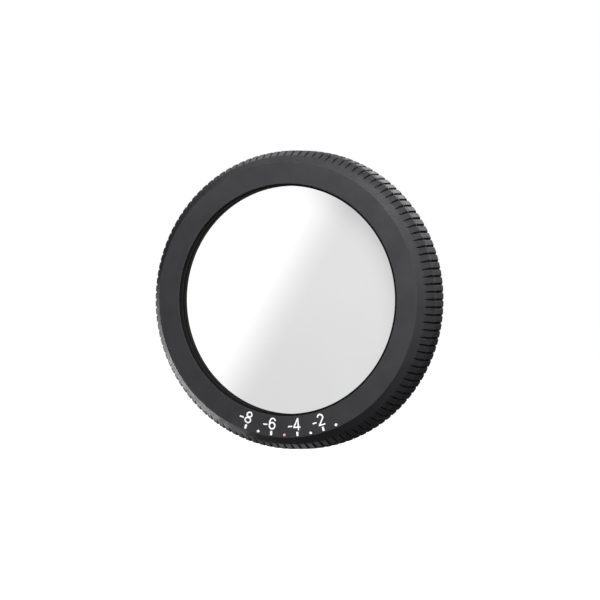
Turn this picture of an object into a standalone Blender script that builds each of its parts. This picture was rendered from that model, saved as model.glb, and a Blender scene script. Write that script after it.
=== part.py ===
"""Adjustable dioptre ring: a knurled ring with a scale turns on a fixed knurled ring.

The turning ring drives a lens cell along the optical axis through three cam grooves.
Every piece is modelled lying face up, with h as its height over the rear seat, and three
empties on the optical axis stand the pieces upright: the face then looks towards -Y.
Profiles are lists of (radius, height) in millimetres.
"""
import math

import bmesh
import bpy
from mathutils import Matrix, Vector

MM = 0.001
COLLECTION = "dioptre_ring"
CUTTERS = "cutters"

# Driving dimensions, in millimetres and degrees.
OUTER_R = 28.15           # lands of the fixed ring's knurl
BODY_H = 9.0              # rear seat to front face
KNURL_TEETH = 120
APERTURE_R = 21.45        # clear bore in front of the glass
GLASS_DEPTH = 3.2         # front face to glass
PARTING_H = 4.5           # middle of the line between the two knurled rings
PARTING_GAP = 0.2
THREAD_R = 26.0           # crest of the host thread, 52 mm across
THREAD_LENGTH = 3.2
CAM_LEAD = 12.0           # cell travel for one turn of the ring
TURN_TO_STRONG = 30.0     # from -3 to -8
TURN_TO_WEAK = 12.0       # from -3 to -1

# The front ring's outside.
FACE_IN_R = 22.05
FACE_OUT_R = 25.95
BORE_BEVEL_H = 0.4
CHAMFER_R = 27.2          # where the chamfer ends and the knurled cone begins
CHAMFER_DEPTH = 1.7
CONE_END_H = 5.2
FRONT_LAND_R = 28.15
EDGE = 0.25               # bevel each side of the parting line

# The knurl's V grooves: (radius, height) along the groove's bottom, front to rear.
FRONT_ROOT = ((26.85, 7.78), (27.72, CONE_END_H), (27.72, 4.6))
REAR_ROOT = ((27.72, 4.6), (27.72, 0.0))
GROOVE_SLOPE = 0.6        # half the groove's width for its depth
REAR_BEVEL = 0.3

# The running surfaces, from the inside out.
CELL_R = 23.2
SNOUT_R = 21.7
REAR_BORE_R = 22.0
BARREL_IN_R = 23.35
BARREL_R = 24.35
RING_BORE_R = 24.6
CAM_ROOT_R = 25.3
SKIRT_R = 26.0
REAR_WALL_R = 26.2
RECESS_R = 26.1           # shallow recess in the rear face that centres the collar

# Heights of the inner shoulders.
LIP_H = 8.0
SKIRT_H = 2.7
WEB_H = 1.2
FOOT_H = (1.5, 2.4)
BARREL_TOP_H = 7.5
CELL_TOP_H = 7.4
CELL_STEP_H = 3.75
CELL_END_H = 0.9
SEAT_H = (3.6, 4.1)
SNAP_H = (3.2, 4.0)
SNAP_CLEAR = 0.1
RECESS_H = 0.1
FLANGE_H = (-1.0, 0.0)

# Glass, springs and seals.
LENS_THICK = 1.25         # front lens at its edge
LENS_DISH = 0.8           # front lens at its middle
REAR_LENS_THICK = 1.2     # rear lens at its edge
REAR_LENS_BULGE = 0.65
LENS_GAP = 0.15
SEAT_IN_R = 19.8
SPRING_R = (24.85, 25.85)
SPRING_H = 1.72
SPRING_THICK = 0.2
SPRING_SWING = 0.25
SPRING_WAVES = 3
WASHER_R = (24.75, 25.95)
WASHER_H = (2.25, 2.6)
O_RING_H = (6.65, 7.15)   # its groove in the barrel
O_RING_R = 0.2

# Pins, rollers and screws.
PIN_H = 5.2
PIN_ANGLES = (90.0, 210.0, 330.0)
PIN_R = 0.3
ROLLER_R = 0.6
TRACK_HALF = 0.75         # half width of the cam grooves and guide slots
ENTRY_TURN = 18.0         # where a groove's entry slot leaves it, past the weak stop
STOP_ANGLE = 270.0
STOP_H = 3.2
STOP_R = 0.4
SCREW_CIRCLE_R = 23.2
SCREW_ANGLES = (45.0, 135.0, 225.0, 315.0)
SCREW_R = 0.45
SCREW_HEAD_R = 0.9

# The printed scale, on the lands' middles.
PRINT_GAP = 0.05
PRINT_THICK = 0.05
EVEN_VALUES = (-8, -6, -4, -2)
ODD_VALUES = (-7, -3, -1)
REFERENCE_VALUE = -5
UNIT_ANGLE = 6.0
ZERO_ANGLE = 28.5         # where 0 would lie, from the bottom towards +X
INDEX_VALUE = -3
BAR_R = 25.3
DOT_CIRCLE_R = 25.45
DOT_R = 0.23
BAR_SIZE = (0.42, 0.82)
DIGIT_R = 23.6
DIGIT_HEIGHT = 2.3
STROKE = 0.3
MINUS_OFFSET = 1.37
MINUS_SIZE = (0.85, 0.3)
INDEX_DOT_H = 2.2

ROUND_STEPS = 48          # facets of the inner turned pieces
KNURLED_STEPS = 60        # facets of the two knurled rings, one for each pair of teeth


def clear_scene():
    for obj in list(bpy.data.objects):
        bpy.data.objects.remove(obj, do_unlink=True)


def new_collection(name):
    collection = bpy.data.collections.new(name)
    bpy.context.scene.collection.children.link(collection)
    return collection


def new_material(name, color, roughness, metallic=0.0, transmission=0.0):
    material = bpy.data.materials.new(name)
    material.use_nodes = True
    shader = material.node_tree.nodes["Principled BSDF"]
    shader.inputs["Base Color"].default_value = (*color, 1.0)
    shader.inputs["Roughness"].default_value = roughness
    shader.inputs["Metallic"].default_value = metallic
    shader.inputs["Transmission Weight"].default_value = transmission
    material.diffuse_color = (*color, 1.0)
    return material


def new_axis(name, collection):
    """An empty on the optical axis that turns local +Z, the face side, to world -Y."""
    axis = bpy.data.objects.new(name, None)
    axis.rotation_euler = (math.radians(90.0), 0.0, 0.0)
    axis.empty_display_size = 10.0 * MM
    collection.objects.link(axis)
    return axis


def place(mesh, name, axis, material=None):
    """Link a mesh as a named object on one of the axes."""
    obj = bpy.data.objects.new(name, mesh)
    bpy.data.collections[COLLECTION].objects.link(obj)
    obj.parent = axis
    if material:
        mesh.materials.append(material)
    return obj


def turned(name, profile, axis, material=None, steps=ROUND_STEPS, closed=True):
    """A turned piece: its profile goes down the outside and back up the inside.

    The profile starts half a tooth past +X, so that no facet's edge meets a groove.
    """
    mesh = bpy.data.meshes.new(name)
    start = spin(180.0 / KNURL_TEETH)
    points = [start @ Vector((radius * MM, 0.0, height * MM)) for radius, height in profile]
    edges = [(i, i + 1) for i in range(len(points) - 1)]
    if closed:
        edges.append((len(points) - 1, 0))
    mesh.from_pydata(points, edges, [])
    obj = place(mesh, name, axis, material)
    screw = obj.modifiers.new("turn", "SCREW")
    screw.axis = "Z"
    screw.steps = steps
    screw.render_steps = steps
    screw.use_merge_vertices = True
    screw.merge_threshold = 0.00001
    return obj


def ring(name, inner, outer, low, high, axis, material=None, steps=ROUND_STEPS):
    """A plain flat ring or tube."""
    profile = [(outer, high), (outer, low), (inner, low), (inner, high)]
    return turned(name, profile, axis, material, steps)


def mesh_object(name, build, axis, material=None):
    """An object whose mesh is made by build(bm), in millimetres."""
    bm = bmesh.new()
    build(bm)
    bmesh.ops.scale(bm, vec=Vector((MM, MM, MM)), verts=bm.verts)
    bmesh.ops.recalc_face_normals(bm, faces=bm.faces)
    mesh = bpy.data.meshes.new(name)
    bm.to_mesh(mesh)
    bm.free()
    return place(mesh, name, axis, material)


def spin(angle):
    return Matrix.Rotation(math.radians(angle), 4, "Z")


def add_rod(bm, radius, length, matrix, sides=16):
    bmesh.ops.create_cone(bm, cap_ends=True, segments=sides, radius1=radius,
                          radius2=radius, depth=length, matrix=matrix)


def make_rod(name, radius, matrix, length, axis, material=None, sides=12):
    """A round bar as an object of its own."""
    obj = mesh_object(name, lambda bm: add_rod(bm, radius, length, matrix, sides), axis, material)
    settle(obj)
    return obj


def add_box(bm, size, matrix):
    bmesh.ops.create_cube(bm, size=1.0, matrix=matrix @ Matrix.Diagonal((*size, 1.0)))


def radial(angle, start, end, height):
    """The matrix of a rod that runs outwards from start to end at a height."""
    middle = Matrix.Translation(((start + end) / 2.0, 0.0, height))
    return spin(angle) @ middle @ Matrix.Rotation(math.radians(90.0), 4, "Y")


def axial(angle, radius, low, high):
    return spin(angle) @ Matrix.Translation((radius, 0.0, (low + high) / 2.0))


def combine(target, tool, operation):
    """Cut or join a piece with a tool, which becomes a hidden wire object."""
    boolean = target.modifiers.new("shape", "BOOLEAN")
    boolean.operation = operation
    boolean.solver = "EXACT"
    boolean.object = tool
    tool.hide_render = True
    tool.display_type = "WIRE"
    bpy.data.collections[COLLECTION].objects.unlink(tool)
    bpy.data.collections[CUTTERS].objects.link(tool)


def cut(target, cutter):
    combine(target, cutter, "DIFFERENCE")


def join(target, addition):
    combine(target, addition, "UNION")


def settle(obj, sharp_angle=30.0):
    """Turn an object's modifiers into mesh, and shade its round faces smooth."""
    bpy.context.view_layer.update()
    graph = bpy.context.evaluated_depsgraph_get()
    mesh = bpy.data.meshes.new_from_object(obj.evaluated_get(graph))
    obj.modifiers.clear()
    obj.data = mesh
    mesh.shade_smooth()
    mesh.set_sharp_from_angle(angle=math.radians(sharp_angle))


def beyond(start, end, reach=1.0):
    """A point past the end of a line, at a distance from it."""
    run = (end[0] - start[0], end[1] - start[1])
    share = reach / math.hypot(*run)
    return (end[0] + share * run[0], end[1] + share * run[1])


def knurl_cutter(name, root, axis):
    """One V-shaped bar for each groove, its point on the line through the root points."""
    path = [beyond(root[1], root[0])] + list(root[1:-1]) + [beyond(root[-2], root[-1])]
    height = 0.85

    def build(bm):
        for tooth in range(KNURL_TEETH):
            turn = spin(tooth * 360.0 / KNURL_TEETH)
            sections = []
            for r, h in path:
                section = [(r, 0.0), (r + height, -height * GROOVE_SLOPE),
                           (r + height, height * GROOVE_SLOPE)]
                sections.append([bm.verts.new(turn @ Vector((x, y, h))) for x, y in section])
            for first, second in zip(sections, sections[1:]):
                for i in range(3):
                    j = (i + 1) % 3
                    bm.faces.new((first[i], second[i], second[j], first[j]))
            bm.faces.new(sections[0])
            bm.faces.new(sections[-1][::-1])
    return mesh_object(name, build, axis)


def helix_bar(bm, inner, outer, half, start, end, height_at, stations=12):
    """A bar of rectangular section that climbs round the axis from start to end."""
    sections = []
    for i in range(stations + 1):
        angle = start + (end - start) * i / stations
        middle = height_at(angle)
        corners = [(inner, middle - half), (outer, middle - half),
                   (outer, middle + half), (inner, middle + half)]
        turn = spin(angle)
        sections.append([bm.verts.new(turn @ Vector((r, 0.0, h))) for r, h in corners])
    for first, second in zip(sections, sections[1:]):
        for i in range(4):
            j = (i + 1) % 4
            bm.faces.new((first[i], first[j], second[j], second[i]))
    bm.faces.new(sections[0][::-1])
    bm.faces.new(sections[-1])


def cam_height(turn):
    """Height of a groove's middle at an angle from its pin, on the ring at rest."""
    return PIN_H + CAM_LEAD * turn / 360.0


def cam_cutter(axis):
    """Three cam grooves, each with a slot to the skirt's end that lets its pin in."""
    play = math.degrees(TRACK_HALF / RING_BORE_R)
    inner = BARREL_R - 0.2

    def grooves(bm):
        for pin in PIN_ANGLES:
            helix_bar(bm, inner, CAM_ROOT_R, TRACK_HALF, pin - TURN_TO_STRONG - play,
                      pin + ENTRY_TURN + play, lambda angle: cam_height(angle - pin))

    def entries(bm):
        low = SKIRT_H - 0.5
        high = cam_height(ENTRY_TURN)
        size = (CAM_ROOT_R - inner, 2.0 * TRACK_HALF, high - low)
        for pin in PIN_ANGLES:
            middle = axial(pin + ENTRY_TURN, (inner + CAM_ROOT_R) / 2.0, low, high)
            add_box(bm, size, middle)

    return (mesh_object("cam_groove_cutter", grooves, axis),
            mesh_object("cam_entry_cutter", entries, axis))


def stop_cutter(axis):
    """The arc in the skirt's end that the stop pin runs in."""
    play = math.degrees((STOP_R + 0.1) / RING_BORE_R)
    half = (STOP_H + STOP_R + 0.15 - SKIRT_H + 0.3) / 2.0
    middle = SKIRT_H - 0.3 + half

    def build(bm):
        helix_bar(bm, BARREL_R - 0.1, CAM_ROOT_R, half, STOP_ANGLE - TURN_TO_STRONG - play,
                  STOP_ANGLE + TURN_TO_WEAK + play, lambda angle: middle)
    return mesh_object("stop_arc_cutter", build, axis)


def make_front_ring(axis, material):
    """The turning ring: face, chamfer, front knurl, and a skirt inside the rear ring."""
    shoulder = PARTING_H + PARTING_GAP / 2.0
    groove_r = SKIRT_R - 0.4
    profile = [
        (FACE_IN_R, BODY_H), (FACE_OUT_R, BODY_H), (CHAMFER_R, BODY_H - CHAMFER_DEPTH),
        (FRONT_LAND_R, CONE_END_H), (FRONT_LAND_R, shoulder + 1.5 * EDGE),
        (FRONT_LAND_R - EDGE, shoulder),
        (SKIRT_R, shoulder), (SKIRT_R, SNAP_H[1]), (groove_r, SNAP_H[1]),
        (groove_r, SNAP_H[0]), (SKIRT_R, SNAP_H[0]), (SKIRT_R, SKIRT_H),
        (RING_BORE_R, SKIRT_H), (RING_BORE_R, LIP_H), (APERTURE_R, LIP_H),
        (APERTURE_R, BODY_H - BORE_BEVEL_H),
    ]
    obj = turned("front_ring", profile, axis, material, KNURLED_STEPS)
    cut(obj, knurl_cutter("front_knurl_cutter", FRONT_ROOT, axis))
    for cutter in cam_cutter(axis):
        cut(obj, cutter)
    cut(obj, stop_cutter(axis))
    settle(obj)


def make_rear_ring(axis, material):
    """The fixed ring: rear knurl, snap-ring groove, and a web with the screw holes."""
    top = PARTING_H - PARTING_GAP / 2.0
    groove_r = REAR_WALL_R + 0.4
    profile = [
        (OUTER_R - EDGE, top), (OUTER_R, top - EDGE), (OUTER_R, 1.5 * REAR_BEVEL),
        (OUTER_R - REAR_BEVEL, 0.0), (RECESS_R, 0.0), (RECESS_R, RECESS_H),
        (REAR_BORE_R, RECESS_H), (REAR_BORE_R, WEB_H),
        (REAR_WALL_R, WEB_H), (REAR_WALL_R, SNAP_H[0]), (groove_r, SNAP_H[0]),
        (groove_r, SNAP_H[1]), (REAR_WALL_R, SNAP_H[1]), (REAR_WALL_R, top),
    ]
    obj = turned("rear_ring", profile, axis, material, KNURLED_STEPS)
    cut(obj, knurl_cutter("rear_knurl_cutter", REAR_ROOT, axis))
    cut(obj, screw_holes("web_hole_cutter", SCREW_R + 0.15, -1.0, WEB_H + 0.2, axis))
    settle(obj)


def screw_holes(name, radius, low, high, axis):
    def build(bm):
        for angle in SCREW_ANGLES:
            add_rod(bm, radius, high - low, axial(angle, SCREW_CIRCLE_R, low, high), 12)
    return mesh_object(name, build, axis)


def make_guide_barrel(axis, material):
    """The fixed barrel: straight slots keep the pins, and so the cell, from turning."""
    groove_r = BARREL_R - 0.3
    profile = [
        (BARREL_R, BARREL_TOP_H), (BARREL_R, O_RING_H[1]), (groove_r, O_RING_H[1]),
        (groove_r, O_RING_H[0]), (BARREL_R, O_RING_H[0]), (BARREL_R, FOOT_H[0]),
        (REAR_BORE_R, FOOT_H[0]), (REAR_BORE_R, FOOT_H[1]), (BARREL_IN_R, FOOT_H[1]),
        (BARREL_IN_R, BARREL_TOP_H),
    ]
    obj = turned("guide_barrel", profile, axis, material)
    low = PIN_H - CAM_LEAD * TURN_TO_STRONG / 360.0 - TRACK_HALF
    high = PIN_H + CAM_LEAD * TURN_TO_WEAK / 360.0 + TRACK_HALF

    def slots(bm):
        for angle in PIN_ANGLES:
            middle = axial(angle, (BARREL_IN_R + BARREL_R) / 2.0, low, high)
            add_box(bm, (2.0, 2.0 * TRACK_HALF, high - low), middle)
        hole = radial(STOP_ANGLE, BARREL_IN_R - 0.5, BARREL_R + 0.5, STOP_H)
        add_rod(bm, STOP_R + 0.1, BARREL_R - BARREL_IN_R + 1.0, hole)
    cut(obj, mesh_object("guide_slot_cutter", slots, axis))
    cut(obj, screw_holes("foot_hole_cutter", SCREW_R + 0.1, FOOT_H[0] - 1.0, FOOT_H[1] + 1.0, axis))
    settle(obj)


def make_damping_o_ring(axis, material):
    """A rubber ring in the barrel's groove that gives the turn its drag."""
    centre_r = RING_BORE_R - 0.07 - O_RING_R
    centre_h = sum(O_RING_H) / 2.0
    corners = 6
    profile = []
    for i in range(corners):
        angle = math.radians(90.0 - i * 360.0 / corners)
        radius = centre_r + O_RING_R * math.cos(angle)
        profile.append((radius, centre_h + O_RING_R * math.sin(angle)))
    settle(turned("damping_o_ring", profile, axis, material), 80.0)


def make_mount_collar(axis, material):
    """The male threaded collar that screws into the instrument."""
    flange, top = FLANGE_H
    chamfer = 0.4
    relief = 0.5
    profile = [
        (THREAD_R - relief, top), (THREAD_R - relief, top - 0.6), (THREAD_R, top - 0.6 - relief),
        (THREAD_R, -THREAD_LENGTH + chamfer), (THREAD_R - chamfer, -THREAD_LENGTH),
        (RING_BORE_R, -THREAD_LENGTH), (RING_BORE_R, flange), (REAR_BORE_R, flange),
        (REAR_BORE_R, top),
    ]
    obj = turned("mount_collar", profile, axis, material)
    cut(obj, screw_holes("collar_hole_cutter", SCREW_R + 0.15, flange - 0.5, top + 0.5, axis))
    settle(obj)


def make_collar_screws(axis, material):
    """Four slotted cheese-head screws that clamp collar, rear ring and barrel."""
    for number, angle in enumerate(SCREW_ANGLES, 1):
        make_collar_screw(number, angle, axis, material)


def make_collar_screw(number, angle, axis, material):
    head_top = FLANGE_H[0] - 0.05
    head_end = head_top - 0.55
    shank_end = FOOT_H[1] - 0.2
    shank_start = head_top - 0.1

    def shank(bm):
        middle = axial(angle, SCREW_CIRCLE_R, shank_start, shank_end)
        add_rod(bm, SCREW_R, shank_end - shank_start, middle, 12)

    def head(bm):
        middle = axial(angle, SCREW_CIRCLE_R, head_end, head_top)
        add_rod(bm, SCREW_HEAD_R, head_top - head_end, middle, 20)

    def slot(bm):
        middle = axial(angle, SCREW_CIRCLE_R, head_end - 0.25, head_end + 0.25)
        add_box(bm, (4.0 * SCREW_HEAD_R, 0.28, 0.5), middle @ spin(30.0 - angle))
    obj = mesh_object(f"collar_screw_{number}", head, axis, material)
    join(obj, mesh_object("screw_shank", shank, axis))
    cut(obj, mesh_object("screw_slot_cutter", slot, axis))
    settle(obj)


def make_snap_ring(axis, material):
    """A split ring, half in each ring's groove, that lets them turn but not part."""
    obj = ring("snap_ring", SKIRT_R - 0.3, REAR_WALL_R + 0.3, SNAP_H[0] + SNAP_CLEAR,
               SNAP_H[1] - SNAP_CLEAR, axis, material)

    def gap(bm):
        add_box(bm, (3.0, 3.0, 3.0), axial(140.0, SKIRT_R, SNAP_H[0] - 1.1, SNAP_H[0] + 1.9))
    cut(obj, mesh_object("snap_gap_cutter", gap, axis))
    settle(obj)


def make_wave_spring(axis, material):
    """A flat spring bent into three waves that takes up the rings' end play."""
    low = SPRING_H - SPRING_THICK / 2.0
    obj = ring("wave_spring", *SPRING_R, low, low + SPRING_THICK, axis, material)
    settle(obj)
    for vert in obj.data.vertices:
        angle = math.atan2(vert.co.y, vert.co.x)
        vert.co.z += SPRING_SWING * math.sin(SPRING_WAVES * angle) * MM


def make_glide_washer(axis, material):
    settle(ring("glide_washer", *WASHER_R, *WASHER_H, axis, material))


def make_stop_pin(axis, material):
    """The pin in the barrel that the ends of the ring's arc come up against."""
    start = BARREL_IN_R + 0.1
    end = CAM_ROOT_R - 0.15
    make_rod("stop_pin", STOP_R, radial(STOP_ANGLE, start, end, STOP_H), end - start, axis,
             material, 16)


def make_lens_cell(axis, material):
    """The sliding cell: a wide front for one lens, a narrow snout for the other."""
    front_bore = CELL_R - 0.75
    snout_bore = SNOUT_R - 1.1
    profile = [
        (CELL_R, CELL_TOP_H), (CELL_R, CELL_STEP_H), (SNOUT_R, CELL_STEP_H),
        (SNOUT_R, CELL_END_H), (snout_bore, CELL_END_H), (snout_bore, SEAT_H[0]),
        (SEAT_IN_R, SEAT_H[0]), (SEAT_IN_R, SEAT_H[1]), (front_bore, SEAT_H[1]),
        (front_bore, CELL_TOP_H),
    ]
    obj = turned("lens_cell", profile, axis, material)

    def holes(bm):
        for angle in PIN_ANGLES:
            along = radial(angle, front_bore - 0.5, front_bore + 1.5, PIN_H)
            add_rod(bm, PIN_R + 0.1, 2.0, along, 12)
    cut(obj, mesh_object("pin_hole_cutter", holes, axis))
    settle(obj)


def make_follower_pins(axis, material):
    """Three pins in the cell wall that reach through the barrel into the cam grooves."""
    start = CELL_R - 0.65
    end = CAM_ROOT_R - 0.1
    for number, angle in enumerate(PIN_ANGLES, 1):
        make_rod(f"follower_pin_{number}", PIN_R, radial(angle, start, end, PIN_H),
                 end - start, axis, material)


def make_follower_rollers(axis, material):
    """A brass roller on each pin."""
    start = CELL_R + 0.1
    end = CAM_ROOT_R - 0.15
    length = end - start
    for number, angle in enumerate(PIN_ANGLES, 1):
        along = radial(angle, start, end, PIN_H)
        roller = make_rod(f"follower_roller_{number}", ROLLER_R, along, length, axis, material, 16)
        bore = make_rod("roller_bore_cutter", PIN_R + 0.08, along, length + 0.6, axis, sides=12)
        cut(roller, bore)
        settle(roller)


def arc_points(radius, centre_h, edge_h, count=4):
    """Points of a lens surface from its edge at a radius to the middle, as a true arc."""
    sag = centre_h - edge_h
    sphere = (radius ** 2 + sag ** 2) / (2.0 * abs(sag))
    points = []
    for i in range(count + 1):
        r = radius * (1.0 - i / count)
        drop = sphere - math.sqrt(sphere ** 2 - r ** 2)
        points.append((r, centre_h - math.copysign(drop, sag)))
    return points


def make_front_lens(axis, material):
    """A plano-concave lens, its flat side to the front."""
    radius = CELL_R - 0.9
    front = BODY_H - GLASS_DEPTH
    rear = front - LENS_THICK
    profile = [(0.0, front), (radius, front), (radius, rear)]
    profile += arc_points(APERTURE_R - 1.0, front - LENS_DISH, rear)
    settle(turned("front_lens", profile, axis, material, closed=False))


def make_rear_lens(axis, material):
    """A plano-convex lens, its flat side against the seat."""
    radius = SNOUT_R - 1.2
    front = SEAT_H[0] - LENS_GAP
    rear = front - REAR_LENS_THICK
    profile = [(0.0, front), (radius, front), (radius, rear)]
    profile += arc_points(radius - 1.1, rear - REAR_LENS_BULGE, rear)
    settle(turned("rear_lens", profile, axis, material, closed=False))


def make_lens_gasket(axis, material):
    """A thin rubber ring between the front lens and its seat."""
    low = SEAT_H[1] + 0.08
    high = BODY_H - GLASS_DEPTH - LENS_THICK - 0.08
    settle(ring("lens_gasket", SEAT_IN_R + 1.0, CELL_R - 0.9, low, high, axis, material))


def spanner_notches(name, radius, height, axis):
    """Two notches across a retaining ring for a pin spanner."""
    def build(bm):
        for angle in (0.0, 180.0):
            middle = axial(angle, radius, height - 0.5, height + 0.5)
            add_box(bm, (3.0, 1.2, 1.0), middle)
    return mesh_object(name, build, axis)


def make_front_retaining_ring(axis, material):
    low = BODY_H - GLASS_DEPTH + LENS_GAP
    high = CELL_TOP_H - 0.1
    obj = ring("front_retaining_ring", APERTURE_R, CELL_R - 0.85, low, high, axis, material)
    cut(obj, spanner_notches("front_notch_cutter", APERTURE_R, high, axis))
    settle(obj)


def make_rear_retaining_ring(axis, material):
    low = CELL_END_H + 0.1
    high = SEAT_H[0] - REAR_LENS_THICK - 2.0 * LENS_GAP
    outer = SNOUT_R - 1.2
    obj = ring("rear_retaining_ring", outer - 1.0, outer, low, high, axis, material)
    cut(obj, spanner_notches("rear_notch_cutter", outer - 0.5, low, axis))
    settle(obj)


def mark_angle(value):
    """Direction of a scale value on the face: from the bottom, towards +X."""
    return ZERO_ANGLE + UNIT_ANGLE * value - 90.0


def print_matrix(value, radius):
    """Places a flat mark on the face, its top towards the axis."""
    height = BODY_H + PRINT_GAP + PRINT_THICK / 2.0
    angle = mark_angle(value)
    return spin(angle) @ Matrix.Translation((radius, 0.0, height)) @ spin(90.0)


def arc(centre_x, centre_y, half_width, half_height, start, end, count=10):
    """Points along part of an ellipse, from a start angle to an end angle in degrees."""
    points = []
    for i in range(count + 1):
        angle = math.radians(start + (end - start) * i / count)
        points.append((centre_x + half_width * math.cos(angle),
                       centre_y + half_height * math.sin(angle)))
    return points


def numeral_strokes(number):
    """Middle lines of a numeral's strokes, for a height of 1, and whether each closes."""
    if number == 8:
        return [(arc(0.0, 0.745, 0.205, 0.1875, 0.0, 330.0, 11), True),
                (arc(0.0, 0.282, 0.2425, 0.2145, 0.0, 330.0, 11), True)]
    if number == 6:
        hook = arc(0.01, 0.56, 0.2525, 0.3725, 28.0, 180.0)
        return [(arc(0.0, 0.325, 0.2425, 0.2575, 0.0, 330.0, 11), True),
                (hook + [(-0.2425, 0.34)], False)]
    if number == 4:
        return [([(0.10, 0.95), (-0.255, 0.29)], False),
                ([(-0.31, 0.262), (0.31, 0.262)], False),
                ([(0.125, 0.0), (0.125, 1.0)], False)]
    neck = arc(0.0, 0.705, 0.2325, 0.2275, 170.0, -28.0)
    return [(neck + [(-0.21, 0.09)], False), ([(-0.29, 0.0675), (0.29, 0.0675)], False)]


def stroke_sides(points, closed):
    """The unit sideways direction at each point, lengthened to keep the corners mitred."""
    sides = []
    last = len(points) - 1
    for i, here in enumerate(points):
        before = points[i - 1] if closed or i > 0 else here
        after = points[(i + 1) % len(points)] if closed or i < last else here
        runs = [end - start for start, end in ((before, here), (here, after)) if start != end]
        normals = [Vector((-run.y, run.x)).normalized() for run in runs]
        middle = sum(normals, Vector((0.0, 0.0))).normalized()
        sides.append(middle / middle.dot(normals[0]))
    return sides


def add_stroke(bm, line, closed, matrix):
    """A flat bar of the stroke's width that follows a line of points."""
    points = [Vector(place_on_line) * DIGIT_HEIGHT for place_on_line in line]
    half = Vector((0.0, 0.0, PRINT_THICK / 2.0))
    sections = []
    for here, side in zip(points, stroke_sides(points, closed)):
        centre = Vector((here.x, here.y - DIGIT_HEIGHT / 2.0, 0.0))
        across = Vector((side.x, side.y, 0.0)) * STROKE / 2.0
        corners = (centre - across - half, centre + across - half,
                   centre + across + half, centre - across + half)
        sections.append([bm.verts.new(matrix @ corner) for corner in corners])
    pairs = list(zip(sections, sections[1:]))
    if closed:
        pairs.append((sections[-1], sections[0]))
    for first, second in pairs:
        for i in range(4):
            j = (i + 1) % 4
            bm.faces.new((first[i], first[j], second[j], second[i]))
    if not closed:
        bm.faces.new(sections[0][::-1])
        bm.faces.new(sections[-1])


def make_numeral(number, matrix, axis, material):
    """A printed numeral, its strokes joined in one body and centred on the matrix."""
    bodies = []
    for line, closed in numeral_strokes(number):
        name = "numeral_stroke" if bodies else f"scale_numeral_{number}"
        paint = None if bodies else material
        bodies.append(mesh_object(
            name, lambda bm: add_stroke(bm, line, closed, matrix), axis, paint))
    for stroke in bodies[1:]:
        join(bodies[0], stroke)
    return bodies[0]


def make_scale_numerals(axis, material):
    """The even values, each with its minus sign."""
    for value in EVEN_VALUES:
        place_at = print_matrix(value, DIGIT_R)
        settle(make_numeral(-value, place_at, axis, material))
        minus = place_at @ Matrix.Translation((-MINUS_OFFSET, 0.0, 0.0))
        make_bar(f"minus_sign_{-value}", MINUS_SIZE, minus, axis, material)


def make_bar(name, size, matrix, axis, material):
    settle(mesh_object(name, lambda bm: add_box(bm, (*size, PRINT_THICK), matrix), axis, material))


def make_scale_marks(axis, material):
    """A bar at each even value and a dot at each odd one."""
    for value in EVEN_VALUES:
        make_bar(f"scale_bar_{-value}", BAR_SIZE, print_matrix(value, BAR_R), axis, material)
    for value in ODD_VALUES:
        make_rod(f"scale_dot_{-value}", DOT_R, print_matrix(value, DOT_CIRCLE_R), PRINT_THICK,
                 axis, material)


def make_reference_dot(axis, material):
    make_rod("reference_dot", DOT_R, print_matrix(REFERENCE_VALUE, DOT_CIRCLE_R), PRINT_THICK,
             axis, material)


def make_index_dot(axis, material):
    """The dot on the fixed ring that the scale is read against."""
    low = OUTER_R + PRINT_GAP
    high = low + PRINT_THICK
    make_rod("index_dot", DOT_R, radial(mark_angle(INDEX_VALUE), low, high, INDEX_DOT_H),
             high - low, axis, material)


def main():
    clear_scene()
    parts = new_collection(COLLECTION)
    cutters = new_collection(CUTTERS)
    fixed = new_axis("fixed_axis", parts)
    turning = new_axis("turning_axis", parts)
    sliding = new_axis("sliding_axis", parts)

    black = new_material("black_anodised", (0.028, 0.028, 0.030), 0.42, 0.6)
    cell_black = new_material("matte_black_anodised", (0.018, 0.018, 0.019), 0.6, 0.4)
    steel = new_material("spring_steel", (0.55, 0.55, 0.56), 0.3, 1.0)
    brass = new_material("brass", (0.72, 0.52, 0.22), 0.35, 1.0)
    rubber = new_material("black_rubber", (0.02, 0.02, 0.02), 0.8)
    ptfe = new_material("white_ptfe", (0.85, 0.85, 0.83), 0.5)
    glass = new_material("coated_glass", (0.93, 0.94, 0.96), 0.03, 0.0, 0.9)
    white = new_material("white_print", (0.85, 0.85, 0.85), 0.55)
    red = new_material("red_print", (0.62, 0.05, 0.06), 0.55)

    make_front_ring(turning, black)
    make_scale_numerals(turning, white)
    make_scale_marks(turning, white)
    make_reference_dot(turning, red)

    make_rear_ring(fixed, black)
    make_index_dot(fixed, white)
    make_guide_barrel(fixed, cell_black)
    make_mount_collar(fixed, black)
    make_collar_screws(fixed, steel)
    make_snap_ring(fixed, steel)
    make_wave_spring(fixed, steel)
    make_glide_washer(fixed, ptfe)
    make_damping_o_ring(fixed, rubber)
    make_stop_pin(fixed, steel)

    make_lens_cell(sliding, cell_black)
    make_front_retaining_ring(sliding, cell_black)
    make_front_lens(sliding, glass)
    make_lens_gasket(sliding, rubber)
    make_rear_lens(sliding, glass)
    make_rear_retaining_ring(sliding, cell_black)
    make_follower_pins(sliding, steel)
    make_follower_rollers(sliding, brass)

    for cutter in list(cutters.objects):
        bpy.data.objects.remove(cutter, do_unlink=True)
    bpy.data.collections.remove(cutters)


main()
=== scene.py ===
import math

import bmesh
import bpy
from mathutils import Matrix, Vector


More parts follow.
